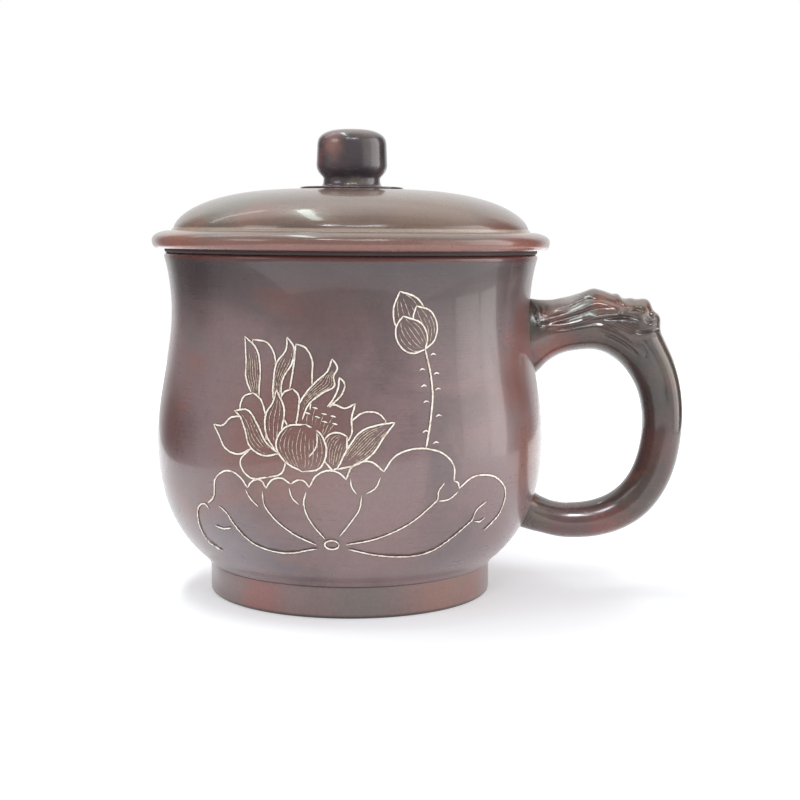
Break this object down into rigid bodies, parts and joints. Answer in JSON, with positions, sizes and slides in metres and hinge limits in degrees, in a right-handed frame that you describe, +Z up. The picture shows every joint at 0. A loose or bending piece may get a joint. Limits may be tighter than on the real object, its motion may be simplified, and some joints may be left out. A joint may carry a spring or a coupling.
{
  "type": "lidded tea mug with infuser",
  "caption": "Waisted clay tea mug on a foot ring with a lift-off domed lid, a pierced lift-out infuser hung from the rim and a dragon-headed loop handle.",
  "frame": {"origin": "centre of the foot ring, on the surface that the mug stands on", "axes": "+Z up along the turned axis of the mug; +X towards the handle; Y across the handle, which is symmetric about the XZ plane"},
  "size_m": [0.1379, 0.1022, 0.1191],
  "materials": {
    "burnished_clay": "unglazed red-brown clay, burnished to a satin gloss, with a bronze kiln patina",
    "polished_clay": "the same clay, polished brighter on the lid and knob",
    "plain_clay": "the same clay, smoothed but not burnished"
  },
  "bodies": {
    "mug": {"mug_bowl": "burnished_clay", "foot_ring": "burnished_clay", "dragon_handle": "burnished_clay", "dragon_eyes": "burnished_clay"},
    "infuser": {"infuser_cup": "plain_clay"},
    "lid": {"lid_dome": "polished_clay", "lid_collar": "plain_clay", "lid_knob": "polished_clay"}
  },
  "joints": [
    {"name": "infuser_lift", "type": "slide", "parent": "mug", "child": "infuser", "axis": [0, 0, 1], "range_m": [0, 0.07]},
    {"name": "lid_lift", "type": "slide", "parent": "infuser", "child": "lid", "axis": [0, 0, 1], "range_m": [0, 0.045]}
  ]
}
